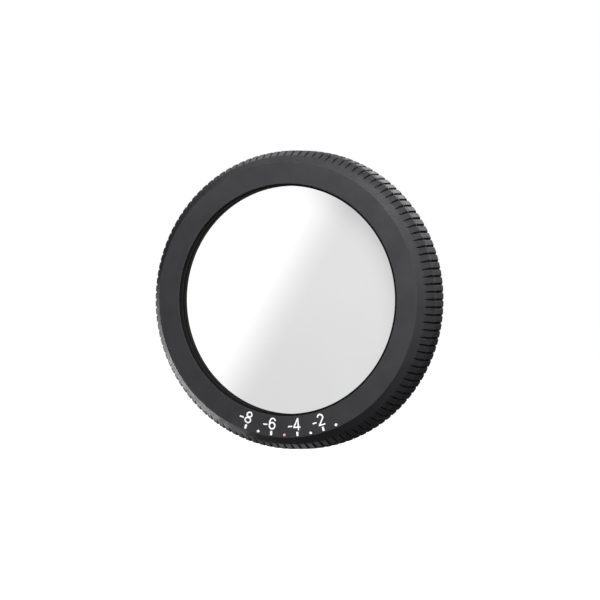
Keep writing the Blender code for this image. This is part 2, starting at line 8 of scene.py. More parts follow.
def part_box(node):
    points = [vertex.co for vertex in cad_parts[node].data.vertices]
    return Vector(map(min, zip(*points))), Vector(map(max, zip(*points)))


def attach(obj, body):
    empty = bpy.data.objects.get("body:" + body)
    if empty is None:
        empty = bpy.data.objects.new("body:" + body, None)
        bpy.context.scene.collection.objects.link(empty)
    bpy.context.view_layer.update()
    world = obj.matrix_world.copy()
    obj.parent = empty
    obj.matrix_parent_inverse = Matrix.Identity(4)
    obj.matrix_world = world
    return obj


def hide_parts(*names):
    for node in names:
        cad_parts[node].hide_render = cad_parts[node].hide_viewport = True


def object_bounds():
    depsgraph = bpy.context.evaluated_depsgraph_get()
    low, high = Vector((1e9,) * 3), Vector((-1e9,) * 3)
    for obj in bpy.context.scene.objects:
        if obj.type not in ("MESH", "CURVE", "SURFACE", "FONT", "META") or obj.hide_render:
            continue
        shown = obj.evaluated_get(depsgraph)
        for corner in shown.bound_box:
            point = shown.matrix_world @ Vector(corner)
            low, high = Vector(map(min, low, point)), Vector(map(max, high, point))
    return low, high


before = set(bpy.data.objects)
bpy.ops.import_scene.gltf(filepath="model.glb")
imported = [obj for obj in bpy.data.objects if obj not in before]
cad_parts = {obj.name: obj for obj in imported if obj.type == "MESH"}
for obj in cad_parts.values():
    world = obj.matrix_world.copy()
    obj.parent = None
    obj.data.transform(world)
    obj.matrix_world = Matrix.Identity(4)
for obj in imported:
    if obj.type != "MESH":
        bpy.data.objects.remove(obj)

MM = 0.001
CAD_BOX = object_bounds()


# ---------------------------------------------------------------- sizes from the frame

def heights(node):
    """Lowest and highest h of a CAD node."""
    low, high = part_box(node)
    return -high[1] / MM, -low[1] / MM


def radius(node):
    """Outer radius of a turned CAD node, from the corners of its facets."""
    low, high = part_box(node)
    return (high[2] - low[2]) / 2.0 / MM


FACE_H = heights("front_ring")[1]
SKIRT_H = heights("front_ring")[0]
REAR_TOP_H = heights("rear_ring")[1]
FRONT_LAND_R = radius("front_ring")
REAR_LAND_R = radius("rear_ring")
GLASS_H = heights("front_lens")[1]
GLASS_R = radius("front_lens")
CELL_H = heights("lens_cell")
CELL_R = radius("lens_cell")
COLLAR_H = heights("mount_collar")
COLLAR_R = radius("mount_collar")

# The two knurled rings.
TEETH = 120
TURN_STEPS = 240          # facets of a plain turned piece
FACE_IN_R = 22.05
FACE_OUT_R = 25.95
CHAMFER_R = 27.2
CHAMFER_DEPTH = 1.7
CONE_END_H = 5.2
SHOULDER_H = 4.6          # where the front ring ends in the CAD
PARTING_H = (REAR_TOP_H + SHOULDER_H) / 2.0
PARTING_GAP = 0.16
PARTING_EDGE = 0.24       # bevel each side of the parting line
APERTURE_R = 21.45
BORE_BEVEL_H = 0.4
LIP_H = FACE_H - 1.0
RING_BORE_R = 24.6
REAR_BORE_R = 22.0
WALL_R = 26.1
RECESS_R = 26.1
SNOUT_R = 21.7
# Groove bottoms, as (radius, h) from front to back.
FRONT_ROOT = ((26.97, 7.61), (27.02, 7.1), (27.72, CONE_END_H), (27.72, SHOULDER_H))
REAR_ROOT = ((27.72, SHOULDER_H), (27.72, 0.0))
GROOVE_SLOPE = 0.6        # half a groove's width for its depth
LEAST_DEPTH = 0.09        # a groove's columns draw no closer together than at this depth

# The printed scale.
UNIT_ANGLE = 6.0          # degrees round the ring for one unit
ZERO_ANGLE = 28.5 - 90.0
INDEX_VALUE = -3
EVEN_VALUES = (-8, -6, -4, -2)
ODD_VALUES = (-7, -3, -1)
BAR_R = 25.3
DOT_CIRCLE_R = 25.45
DOT_R = 0.26
BAR_SIZE = (0.42, 0.82)
DIGIT_R = 23.5
DIGIT_HEIGHT = 2.3
STROKE = 0.27
MINUS_OFFSET = 1.37
MINUS_DROP = 0.3
MINUS_SIZE = (0.85, 0.27)
INK = 0.02                # thickness of the print


def point(angle, r, h):
    """World position of a cylindrical place, angle in radians."""
    return Vector((r * math.cos(angle), -h, r * math.sin(angle))) * MM


# ---------------------------------------------------------------- materials

def new_material(name, roughness, metallic=0.0):
    material = bpy.data.materials.new(name)
    material.use_nodes = True
    tree = material.node_tree
    shader = tree.nodes["Principled BSDF"]
    shader.inputs["Roughness"].default_value = roughness
    shader.inputs["Metallic"].default_value = metallic
    return material, tree, shader


def object_coordinates(tree):
    return tree.nodes.new("ShaderNodeTexCoord").outputs["Object"]


def noise(tree, scale, detail=3.0):
    node = tree.nodes.new("ShaderNodeTexNoise")
    node.inputs["Scale"].default_value = scale
    node.inputs["Detail"].default_value = detail
    tree.links.new(object_coordinates(tree), node.inputs["Vector"])
    return node.outputs["Fac"]


def spread(tree, value, low, high, from_low=0.3, from_high=0.7):
    """Maps a 0 to 1 texture onto a range of numbers."""
    node = tree.nodes.new("ShaderNodeMapRange")
    node.inputs["From Min"].default_value = from_low
    node.inputs["From Max"].default_value = from_high
    node.inputs["To Min"].default_value = low
    node.inputs["To Max"].default_value = high
    tree.links.new(value, node.inputs["Value"])
    return node.outputs["Result"]


def blend_colors(tree, factor, first, second):
    """Mixes two colours. The first may also be the output of another node."""
    node = tree.nodes.new("ShaderNodeMix")
    node.data_type = "RGBA"
    if isinstance(first, tuple):
        node.inputs["A"].default_value = (*first, 1.0)
    else:
        tree.links.new(first, node.inputs["A"])
    node.inputs["B"].default_value = (*second, 1.0)
    tree.links.new(factor, node.inputs["Factor"])
    return node.outputs["Result"]


def bump(tree, shader, value, strength, distance):
    node = tree.nodes.new("ShaderNodeBump")
    node.inputs["Strength"].default_value = strength
    node.inputs["Distance"].default_value = distance
    tree.links.new(value, node.inputs["Height"])
    tree.links.new(node.outputs["Normal"], shader.inputs["Normal"])


def edge_wear_and_highlight(tree, reach=0.00008):
    """1 on edges and corners, 0 elsewhere, from how far a bevel would turn the normal. It marks
    where edges are painted paler, partly as wear and partly as a painted highlight.
    """
    bevel = tree.nodes.new("ShaderNodeBevel")
    bevel.samples = 4
    bevel.inputs["Radius"].default_value = reach
    plain = tree.nodes.new("ShaderNodeNewGeometry").outputs["Normal"]
    agree = tree.nodes.new("ShaderNodeVectorMath")
    agree.operation = "DOT_PRODUCT"
    tree.links.new(bevel.outputs["Normal"], agree.inputs[0])
    tree.links.new(plain, agree.inputs[1])
    return spread(tree, agree.outputs["Value"], 1.0, 0.0, 0.8, 1.0)


def anodised(name, dark, light, edge, roughness, specular=0.5, grain=9000.0):
    """Blasted and dyed aluminium: fine grain, faint mottling and paler edges that are partly
    wear and partly a painted highlight.
    """
    material, tree, shader = new_material(name, roughness)
    shader.inputs["Specular IOR Level"].default_value = specular
    mottled = blend_colors(tree, spread(tree, noise(tree, 260.0), 0.0, 1.0), dark, light)
    # Paler edges: partly wear, partly a painted highlight.
    worn_and_highlit = blend_colors(tree, edge_wear_and_highlight(tree), mottled, edge)
    tree.links.new(worn_and_highlit, shader.inputs["Base Color"])
    rough = spread(tree, noise(tree, 900.0), roughness - 0.04, roughness + 0.05)
    tree.links.new(rough, shader.inputs["Roughness"])
    bump(tree, shader, noise(tree, grain, 2.0), 0.12, 0.00001)
    return material


def glass_with_painted_reflection(name):
    """Glass with a painted reflection: an emission gradient, white on one side and pale grey
    past a soft slanting edge, stands in for a reflected light, so the glass glows though it is
    no lamp.
    """
    material, tree, shader = new_material(name, 0.06)
    down_right = (0.871, 0.0, -0.491)
    reflection_white_until, reflection_grey_from = -0.0102, 0.0026
    gradient = tree.nodes.new("ShaderNodeVectorMath")
    gradient.operation = "DOT_PRODUCT"
    gradient.inputs[1].default_value = down_right
    tree.links.new(object_coordinates(tree), gradient.inputs[0])
    across = tree.nodes.new("ShaderNodeMapRange")
    across.interpolation_type = "SMOOTHSTEP"
    across.inputs["From Min"].default_value = reflection_white_until
    across.inputs["From Max"].default_value = reflection_grey_from
    tree.links.new(gradient.outputs["Value"], across.inputs["Value"])
    # Painted reflection: this white-to-grey gradient drives the emission, so the glass glows
    # with it.
    color = blend_colors(tree, across.outputs["Result"], (0.95, 0.95, 0.95), (0.56, 0.56, 0.563))
    tree.links.new(color, shader.inputs["Emission Color"])
    shader.inputs["Emission Strength"].default_value = 1.0
    cloud = spread(tree, noise(tree, 60.0), 0.0, 1.0)
    base = blend_colors(tree, cloud, (0.14, 0.14, 0.14), (0.16, 0.16, 0.16))
    tree.links.new(base, shader.inputs["Base Color"])
    shader.inputs["IOR"].default_value = 1.5
    rough = spread(tree, noise(tree, 400.0), 0.05, 0.08)
    tree.links.new(rough, shader.inputs["Roughness"])
    return material


def clear_glass(name):
    """Coated clear glass with a faint green-violet bloom."""
    material, tree, shader = new_material(name, 0.02)
    bloom = spread(tree, noise(tree, 45.0), 0.0, 1.0)
    color = blend_colors(tree, bloom, (0.90, 0.95, 0.93), (0.93, 0.92, 0.97))
    tree.links.new(color, shader.inputs["Base Color"])
    shader.inputs["Transmission Weight"].default_value = 0.92
    shader.inputs["IOR"].default_value = 1.52
    return material


def ink(name, color, darker, painted_glow):
    """Screen-printed ink: a slightly uneven matte film, with a painted glow: emission in the
    ink's own colour makes it glow though it is no lamp.
    """
    material, tree, shader = new_material(name, 0.5)
    mixed = blend_colors(tree, spread(tree, noise(tree, 5000.0), 0.0, 1.0), color, darker)
    tree.links.new(mixed, shader.inputs["Base Color"])
    shader.inputs["Emission Color"].default_value = (*color, 1.0)
    shader.inputs["Emission Strength"].default_value = painted_glow
    bump(tree, shader, noise(tree, 12000.0), 0.2, 0.000005)
    return material


def turned_metal(name, color, darker, roughness):
    """Bright machined metal with fine tool marks round the axis."""
    material, tree, shader = new_material(name, roughness, 1.0)
    mixed = blend_colors(tree, spread(tree, noise(tree, 1500.0), 0.0, 1.0), color, darker)
    tree.links.new(mixed, shader.inputs["Base Color"])
    wave = tree.nodes.new("ShaderNodeTexWave")
    wave.wave_type = "RINGS"
    wave.rings_direction = "Y"
    wave.inputs["Scale"].default_value = 2500.0
    wave.inputs["Distortion"].default_value = 0.6
    tree.links.new(object_coordinates(tree), wave.inputs["Vector"])
    bump(tree, shader, wave.outputs["Fac"], 0.15, 0.000004)
    return material


def soft_matte(name, color, darker, roughness):
    """Rubber or PTFE: matte, with a faint grain."""
    material, tree, shader = new_material(name, roughness)
    mixed = blend_colors(tree, spread(tree, noise(tree, 1200.0), 0.0, 1.0), color, darker)
    tree.links.new(mixed, shader.inputs["Base Color"])
    bump(tree, shader, noise(tree, 6000.0), 0.3, 0.00001)
    return material


BODY_BLACK = anodised("body_black", (0.033, 0.0318, 0.035), (0.040, 0.0388, 0.042),
                      (0.055, 0.053, 0.057), 0.38)
# Painted shade: a darker, less glossy copy of the body anodising for the groove walls, standing
# in for the shade in the grooves.
GROOVE_PAINTED_SHADE = anodised("groove_painted_shade", (0.010, 0.0095, 0.0105), (0.014, 0.0135, 0.0145),
                        (0.026, 0.025, 0.027), 0.5, specular=0.25)
CELL_BLACK = anodised("cell_black", (0.014, 0.014, 0.015), (0.02, 0.02, 0.021),
                      (0.05, 0.05, 0.052), 0.55)
# Painted shade: a near-black, low-gloss copy of the anodising, darker than the body, standing in
# for the shade inside the bore.
BORE_PAINTED_SHADE = anodised("bore_painted_shade", (0.003, 0.003, 0.003), (0.005, 0.005, 0.005),
                        (0.012, 0.012, 0.012), 0.75, specular=0.08)
# The front glass carries a painted reflection and glows by emission.
FRONT_GLASS_PAINTED_REFLECTION = glass_with_painted_reflection("front_glass_painted_reflection")
REAR_GLASS = clear_glass("rear_glass")
# Both inks have a painted glow by emission on top of their printed colour.
WHITE_INK = ink("white_ink", (0.96, 0.96, 0.96), (0.9, 0.9, 0.9), 0.12)
RED_INK = ink("red_ink", (0.93, 0.42, 0.42), (0.85, 0.34, 0.35), 0.1)
SPRING_STEEL = turned_metal("spring_steel", (0.56, 0.56, 0.57), (0.46, 0.46, 0.48), 0.3)
SCREW_STEEL = turned_metal("screw_steel", (0.42, 0.42, 0.44), (0.34, 0.34, 0.36), 0.35)
BRASS = turned_metal("brass", (0.72, 0.52, 0.22), (0.62, 0.43, 0.17), 0.35)
RUBBER = soft_matte("black_rubber", (0.02, 0.02, 0.02), (0.03, 0.03, 0.03), 0.75)
PTFE = soft_matte("white_ptfe", (0.84, 0.84, 0.82), (0.78, 0.78, 0.76), 0.45)


# ---------------------------------------------------------------- building pieces

def finish_piece(bm, name, material, body, nodes, sharp=20.0):
    """Makes the mesh an object that rides on a body and stands for its CAD nodes."""
    bmesh.ops.recalc_face_normals(bm, faces=bm.faces)
    mesh = bpy.data.meshes.new(name)
    bm.to_mesh(mesh)
    bm.free()
    mesh.materials.append(material)
    mesh.shade_smooth()
    mesh.set_sharp_from_angle(angle=math.radians(sharp))
    obj = bpy.data.objects.new(name, mesh)
    bpy.context.scene.collection.objects.link(obj)
    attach(obj, body)
    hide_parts(*nodes)
    return obj


def sweep(bm, angles, rows, place):
    """A closed band: rows of a profile at each angle, joined all the way round."""
    columns = [[bm.verts.new(place(angle, row)) for row in rows] for angle in angles]
    for i, column in enumerate(columns):
        other = columns[(i + 1) % len(columns)]
        for j in range(len(rows)):
            k = (j + 1) % len(rows)
            bm.faces.new((column[j], column[k], other[k], other[j]))


def even_angles(count):
    return [2.0 * math.pi * i / count for i in range(count)]


def lathe(name, profile, material, body, nodes):
    """A turned piece from a closed profile of (radius, h)."""
    bm = bmesh.new()
    sweep(bm, even_angles(TURN_STEPS), profile, lambda angle, row: point(angle, *row))
    return finish_piece(bm, name, material, body, nodes)


def solid_lathe(name, profile, material, body, nodes):
    """A turned piece whose profile starts and ends on the axis, such as a lens."""
    bm = bmesh.new()
    top = bm.verts.new(point(0.0, 0.0, profile[0][1]))
    bottom = bm.verts.new(point(0.0, 0.0, profile[-1][1]))
    rows = profile[1:-1]
    columns = [[bm.verts.new(point(angle, *row)) for row in rows]
               for angle in even_angles(TURN_STEPS)]
    for i, column in enumerate(columns):
        other = columns[(i + 1) % TURN_STEPS]
        bm.faces.new((top, column[0], other[0]))
        bm.faces.new((bottom, other[-1], column[-1]))
        for first, second, third, fourth in zip(column, column[1:], other[1:], other):
            bm.faces.new((first, second, third, fourth))
    return finish_piece(bm, name, material, body, nodes)


def rounded_corner(wall, face, count=6):
    """A quarter of an ellipse from the top of a wall to the edge of a face."""
    points = []
    for i in range(count + 1):
        angle = math.pi / 2.0 * i / count
        points.append((face[0] + (wall[0] - face[0]) * math.cos(angle),
                       wall[1] + (face[1] - wall[1]) * math.sin(angle)))
    return points


def groove_columns():
    """The columns of one turn of a knurl, as (angle of a groove, place across the groove).

    The place is 0 at the groove's bottom and 1 at its edge, and None is a land's middle.
    """
    pitch = 2.0 * math.pi / TEETH
    across = (-1.14, -0.94, -0.5, -0.06, 0.06, 0.5, 0.94, 1.14)
    columns = []
    for tooth in range(TEETH):
        columns += [(tooth * pitch, u) for u in across]
        columns.append(((tooth + 0.5) * pitch, None))
    return columns


def root_radius(root, h):
    """Radius of a groove's bottom at a height, also past the ends of its line."""
    for (front_r, front_h), (rear_r, rear_h) in zip(root, root[1:]):
        if h >= rear_h:
            break
    return rear_r + (front_r - rear_r) * (h - rear_h) / (front_h - rear_h)


def groove_place(column, row, root):
    """Where a column meets a row: a row is (radius, h, True where a groove may cut)."""
    angle, across = column
    r, h, may_cut = row
    depth = max(0.0, r - root_radius(root, h)) if may_cut else 0.0
    if across is None:
        return point(angle, r, h)
    half_width = max(depth, LEAST_DEPTH) * GROOVE_SLOPE
    share = max(0.0, 1.0 - abs(across)) if abs(across) < 1.0 else 0.0
    return point(angle + across * half_width / r, r - depth * share, h)


def knurled(name, rows, root, material, body, nodes):
    """A turned piece with V grooves across the rows that allow them."""
    bm = bmesh.new()
    sweep(bm, groove_columns(), rows, lambda column, row: groove_place(column, row, root))
    return finish_piece(bm, name, material, body, nodes)


def paint(obj, material, wanted):
    """Gives the faces that pass a test a material of their own."""
    obj.data.materials.append(material)
    slot = len(obj.data.materials) - 1
    for face in obj.data.polygons:
        if wanted(face):
            face.material_index = slot


def in_bore(face):
    return math.hypot(face.center.x, face.center.z) < (APERTURE_R + 0.45) * MM


def on_groove_wall(face):
    """True where a face looks round the ring rather than away from its axis."""
    across = Vector((face.center.z, 0.0, -face.center.x)).normalized()
    return abs(face.normal.dot(across)) > 0.5


def steps_between(start, end, count):
    """Evenly spaced places from start up to, but not including, end."""
    return [tuple(a + (b - a) * i / count for a, b in zip(start, end)) for i in range(count)]


# ---------------------------------------------------------------- the two knurled rings

def make_front_ring():
    shoulder = PARTING_H + PARTING_GAP / 2.0
    groove_tips, chamfer_foot = 0.8, 0.97
    chamfer_start = (FACE_OUT_R, FACE_H)
    chamfer_end = (CHAMFER_R, FACE_H - CHAMFER_DEPTH)
    run = (chamfer_end[0] - chamfer_start[0], chamfer_end[1] - chamfer_start[1])

    def on_chamfer(share):
        return (chamfer_start[0] + run[0] * share, chamfer_start[1] + run[1] * share)

    outside = [(FACE_IN_R + 0.05, FACE_H), (FACE_OUT_R, FACE_H)]
    outside += steps_between(on_chamfer(groove_tips), on_chamfer(chamfer_foot), 5)
    cone_start = (CHAMFER_R + 0.035, chamfer_end[1] - 0.08)
    outside += [on_chamfer(chamfer_foot), cone_start]
    outside += steps_between(cone_start, (FRONT_LAND_R, CONE_END_H), 3)[1:]
    outside += [(FRONT_LAND_R, CONE_END_H), (FRONT_LAND_R, shoulder + 1.5 * PARTING_EDGE),
                (FRONT_LAND_R - PARTING_EDGE, shoulder)]
    rows = [(r, h, True) for r, h in outside]
    inside = [
        (WALL_R - 0.1, shoulder), (WALL_R - 0.1, SKIRT_H), (RING_BORE_R, SKIRT_H),
        (RING_BORE_R, LIP_H), (APERTURE_R + 0.05, LIP_H), (APERTURE_R, LIP_H + 0.05),
    ]
    inside += rounded_corner((APERTURE_R, FACE_H - BORE_BEVEL_H), (FACE_IN_R, FACE_H))
    rows += [(r, h, False) for r, h in inside]
    ring = knurled("turning_ring_body", rows, FRONT_ROOT, BODY_BLACK, "turning_ring",
                   ["front_ring"])
    # Painted shade on the bore and the rounded edge into it.
    paint(ring, BORE_PAINTED_SHADE, in_bore)
    # Painted shade on the groove walls of the turning ring.
    paint(ring, GROOVE_PAINTED_SHADE, on_groove_wall)


def make_rear_ring():
    top = PARTING_H - PARTING_GAP / 2.0
    back = 0.3
    outside = [(REAR_LAND_R - PARTING_EDGE, top)]
    outside += steps_between((REAR_LAND_R, top - PARTING_EDGE), (REAR_LAND_R, 1.5 * back), 3)
    outside += [(REAR_LAND_R, 1.5 * back), (REAR_LAND_R - back, 0.0)]
    rows = [(r, h, True) for r, h in outside]
    inside = [(RECESS_R, 0.0), (RECESS_R, 0.1), (REAR_BORE_R, 0.1), (REAR_BORE_R, 1.2),
              (WALL_R, 1.2), (WALL_R, top)]
    rows += [(r, h, False) for r, h in inside]
    ring = knurled("fixed_ring_body", rows, REAR_ROOT, BODY_BLACK, "fixed_body",
                   ["rear_ring"])
    # Painted shade on the groove walls of the fixed ring.
    paint(ring, GROOVE_PAINTED_SHADE, on_groove_wall)


# ---------------------------------------------------------------- glass and cell

def make_front_lens():
    bevel = 0.12
    rear = heights("front_lens")[0]
    flat = GLASS_R - 1.7
    profile = [(0.0, GLASS_H), (GLASS_R - bevel, GLASS_H), (GLASS_R, GLASS_H - bevel),
               (GLASS_R, rear), (flat, rear)]
    dish = GLASS_H - rear - 0.8
    for i in range(1, 8):
        share = i / 8.0
        profile.append((flat * (1.0 - share), rear + dish * (1.0 - (1.0 - share) ** 2)))
    profile.append((0.0, rear + dish))
    solid_lathe("front_lens_glass", profile, FRONT_GLASS_PAINTED_REFLECTION, "sliding_cell", ["front_lens"])


def make_rear_lens():
    low, high = heights("rear_lens")
    edge = radius("rear_lens")
    shoulder = high - 1.2
    flat = edge - 1.1
    bulge = shoulder - low
    profile = [(0.0, high), (edge - 0.12, high), (edge, high - 0.12), (edge, shoulder),
               (flat, shoulder)]
    for i in range(1, 12):
        share = i / 12.0
        profile.append((flat * (1.0 - share), shoulder - bulge * (1.0 - (1.0 - share) ** 2)))
    profile.append((0.0, low))
    solid_lathe("rear_lens_glass", profile, REAR_GLASS, "sliding_cell", ["rear_lens"])


def make_front_retaining_ring():
    low, high = heights("front_retaining_ring")
    outer = radius("front_retaining_ring")
    step = 0.12
    profile = [(outer, high), (outer, low), (APERTURE_R + 0.1, low), (APERTURE_R, low + 0.1),
               (APERTURE_R, high - step), (APERTURE_R + step, high)]
    # The retaining ring inside the bore gets the same painted shade.
    lathe("front_retaining_ring_turned", profile, BORE_PAINTED_SHADE, "sliding_cell",
          ["front_retaining_ring"])


def make_lens_cell():
    low, high = CELL_H
    step = high - 3.65
    bore = CELL_R - 0.75
    seat_r = SNOUT_R - 1.9
    snout_bore = SNOUT_R - 1.1
    profile = [(CELL_R, high), (CELL_R, step), (SNOUT_R, step), (SNOUT_R, low + 0.15),
               (SNOUT_R - 0.15, low), (snout_bore + 0.1, low), (snout_bore, low + 0.1),
               (snout_bore, high - 3.8), (seat_r, high - 3.8), (seat_r, high - 3.3),
               (bore, high - 3.3), (bore, high)]
    lathe("lens_cell_turned", profile, CELL_BLACK, "sliding_cell", ["lens_cell"])


# ---------------------------------------------------------------- threaded collar

def make_mount_collar():
    """The collar with its 0.75 mm thread as a true helix between relief and chamfer."""
    low, high = COLLAR_H
    pitch = 0.75
    depth = 0.4
    relief_end = high - 0.9
    thread_end = low + 0.35
    flange = high - 1.0
    rows = [(COLLAR_R - 0.5, high, 0.0), (COLLAR_R - 0.5, relief_end, 0.0)]
    thread_rows = 26
    for i in range(thread_rows + 1):
        share = i / thread_rows
        fade = min(1.0, 6.0 * share, 6.0 * (1.0 - share))
        rows.append((COLLAR_R, relief_end + (thread_end - relief_end) * share, depth * fade))
    rows += [(COLLAR_R - 0.35, low, 0.0), (RING_BORE_R, low, 0.0), (RING_BORE_R, flange, 0.0),
             (REAR_BORE_R + 0.1, flange, 0.0), (REAR_BORE_R, flange + 0.1, 0.0),
             (REAR_BORE_R, high, 0.0)]

    def place(angle, row):
        r, h, cut = row
        phase = (h / pitch + angle / (2.0 * math.pi)) % 1.0
        tooth = abs(2.0 * phase - 1.0)
        return point(angle, r - cut * (1.0 - tooth), h)

    bm = bmesh.new()
    sweep(bm, even_angles(160), rows, place)
    finish_piece(bm, "threaded_collar", BODY_BLACK, "fixed_body", ["mount_collar"],
                 sharp=60.0)


# ---------------------------------------------------------------- printed scale

def mark_angle(value):
    return math.radians(ZERO_ANGLE + UNIT_ANGLE * value)


def face_matrix(value, r):
    """Stands a flat mark on the face, its top towards the axis and its front to -Y."""
    angle = mark_angle(value)
    turn = Matrix.Rotation(-(angle + math.pi / 2.0), 4, "Y")
    upright = Matrix.Rotation(math.pi / 2.0, 4, "X")
    return Matrix.Translation(point(angle, r, FACE_H + INK / 2.0)) @ turn @ upright


def ink_piece(name, build, material, nodes, body="turning_ring"):
    bm = bmesh.new()
    build(bm)
    return finish_piece(bm, name, material, body, nodes)


def add_dot(bm, matrix):
    size = DOT_R * MM
    bmesh.ops.create_cone(bm, cap_ends=True, segments=32, radius1=size, radius2=size * 0.94,
                          depth=INK * MM, matrix=matrix)


def add_bar(bm, size, matrix):
    """A bar with rounded corners."""
    half_w = size[0] / 2.0
    half_h = size[1] / 2.0
    corner = min(half_w, half_h) * 0.5
    outline = []
    for quarter in range(4):
        cx = (half_w - corner) * (1 if quarter in (0, 3) else -1)
        cy = (half_h - corner) * (1 if quarter in (0, 1) else -1)
        for i in range(5):
            angle = math.radians(90.0 * quarter + 22.5 * i)
            outline.append((cx + corner * math.cos(angle), cy + corner * math.sin(angle)))
    layers = []
    for z in (-INK / 2.0, INK / 2.0):
        layers.append([bm.verts.new(matrix @ (Vector((x, y, z)) * MM)) for x, y in outline])
    bm.faces.new(layers[0][::-1])
    bm.faces.new(layers[1])
    for i in range(len(outline)):
        j = (i + 1) % len(outline)
        bm.faces.new((layers[0][i], layers[0][j], layers[1][j], layers[1][i]))


def arc(centre_x, centre_y, half_width, half_height, start, end, count=24):
    """Points along part of an ellipse, from a start angle to an end angle in degrees."""
    points = []
    for i in range(count + 1):
        angle = math.radians(start + (end - start) * i / count)
        points.append((centre_x + half_width * math.cos(angle),
                       centre_y + half_height * math.sin(angle)))
    return points


def numeral_strokes(number):
    """Middle lines of a numeral's strokes, for a height of 1, and whether each closes."""
    if number == 8:
        return [(arc(0.0, 0.745, 0.205, 0.1875, 0.0, 345.0, 23), True),
                (arc(0.0, 0.282, 0.2425, 0.2145, 0.0, 345.0, 23), True)]
    if number == 6:
        hook = arc(0.01, 0.56, 0.2525, 0.3725, 28.0, 180.0)
        return [(arc(0.0, 0.325, 0.2425, 0.2575, 0.0, 345.0, 23), True),
                (hook + [(-0.2425, 0.34)], False)]
    if number == 4:
        return [([(0.10, 0.95), (-0.255, 0.29)], False),
                ([(-0.31, 0.262), (0.31, 0.262)], False),
                ([(0.125, 0.0), (0.125, 1.0)], False)]
    neck = arc(0.0, 0.705, 0.2325, 0.2275, 170.0, -28.0)
    return [(neck + [(-0.21, 0.09)], False), ([(-0.29, 0.0675), (0.29, 0.0675)], False)]


def stroke_sides(points, closed):
    """The unit sideways direction at each point, lengthened to keep the corners mitred."""
    sides = []
    last = len(points) - 1
    for i, here in enumerate(points):
        before = points[i - 1] if closed or i > 0 else here
        after = points[(i + 1) % len(points)] if closed or i < last else here
        runs = [end - start for start, end in ((before, here), (here, after)) if start != end]
        normals = [Vector((-run.y, run.x)).normalized() for run in runs]
        middle = sum(normals, Vector((0.0, 0.0))).normalized()
        sides.append(middle / middle.dot(normals[0]))
    return sides


def add_stroke(bm, line, closed, matrix):
    """A flat bar of the stroke's width that follows a line of points."""
    points = [Vector(place) * DIGIT_HEIGHT for place in line]
    half = Vector((0.0, 0.0, INK / 2.0))
    sections = []
    for here, side in zip(points, stroke_sides(points, closed)):
        centre = Vector((here.x, here.y - DIGIT_HEIGHT / 2.0, 0.0))
        across = Vector((side.x, side.y, 0.0)) * STROKE / 2.0
        corners = (centre - across - half, centre + across - half,
                   centre + across + half, centre - across + half)
        sections.append([bm.verts.new(matrix @ (corner * MM)) for corner in corners])
    pairs = list(zip(sections, sections[1:]))
    if closed:
        pairs.append((sections[-1], sections[0]))
    for first, second in pairs:
        for i in range(4):
            j = (i + 1) % 4
            bm.faces.new((first[i], first[j], second[j], second[i]))
    if not closed:
        bm.faces.new(sections[0][::-1])
        bm.faces.new(sections[-1])


def temporary_object(bm):
    """An object for a Boolean modifier, which add_numeral removes again."""
    bmesh.ops.recalc_face_normals(bm, faces=bm.faces)
    mesh = bpy.data.meshes.new("stroke")
    bm.to_mesh(mesh)
    bm.free()
    obj = bpy.data.objects.new("stroke", mesh)
    bpy.context.scene.collection.objects.link(obj)
    return obj


def add_numeral(bm, number, matrix):
    """A generic numeral, its strokes joined in one body and centred on the matrix.

    The strokes are joined a thousand times larger, where the Boolean is exact enough.
    """
    strokes = []
    for line, closed in numeral_strokes(number):
        part = bmesh.new()
        add_stroke(part, line, closed, Matrix.Scale(1000.0, 4))
        strokes.append(temporary_object(part))
    for stroke in strokes[1:]:
        union = strokes[0].modifiers.new("union", "BOOLEAN")
        union.operation = "UNION"
        union.solver = "EXACT"
        union.object = stroke
    bpy.context.view_layer.update()
    graph = bpy.context.evaluated_depsgraph_get()
    mesh = bpy.data.meshes.new_from_object(strokes[0].evaluated_get(graph))
    mesh.transform(matrix @ Matrix.Scale(MM, 4))
    bm.from_mesh(mesh)
    bmesh.ops.remove_doubles(bm, verts=bm.verts, dist=0.003 * MM)
    bpy.data.meshes.remove(mesh)
    for stroke in strokes:
        bpy.data.meshes.remove(stroke.data)


def make_scale():
    for value in EVEN_VALUES:
        number = -value
        digit = face_matrix(value, DIGIT_R)
        minus = digit @ Matrix.Translation((-MINUS_OFFSET * MM, -MINUS_DROP * MM, 0.0))
        bar = face_matrix(value, BAR_R)
        ink_piece(f"numeral_{number}", lambda bm: add_numeral(bm, number, digit),
                  WHITE_INK, [f"scale_numeral_{number}"])
        ink_piece(f"minus_{number}", lambda bm: add_bar(bm, MINUS_SIZE, minus), WHITE_INK,
                  [f"minus_sign_{number}"])
        ink_piece(f"bar_{number}", lambda bm: add_bar(bm, BAR_SIZE, bar), WHITE_INK,
                  [f"scale_bar_{number}"])
    for value in ODD_VALUES:
        dot = face_matrix(value, DOT_CIRCLE_R)
        ink_piece(f"dot_{-value}", lambda bm: add_dot(bm, dot), WHITE_INK,
                  [f"scale_dot_{-value}"])
    red = face_matrix(-5, DOT_CIRCLE_R)
    ink_piece("red_dot", lambda bm: add_dot(bm, red), RED_INK, ["reference_dot"])


def make_index_dot():
    angle = mark_angle(INDEX_VALUE)
    low, high = heights("index_dot")
    centre = point(angle, REAR_LAND_R + INK / 2.0, (low + high) / 2.0)
    outwards = Vector((math.cos(angle), 0.0, math.sin(angle)))
    matrix = Matrix.Translation(centre) @ outwards.to_track_quat("Z", "Y").to_matrix().to_4x4()
    ink_piece("index_dot_ink", lambda bm: add_dot(bm, matrix), WHITE_INK, ["index_dot"],
              "fixed_body")


# ---------------------------------------------------------------- carried-over nodes

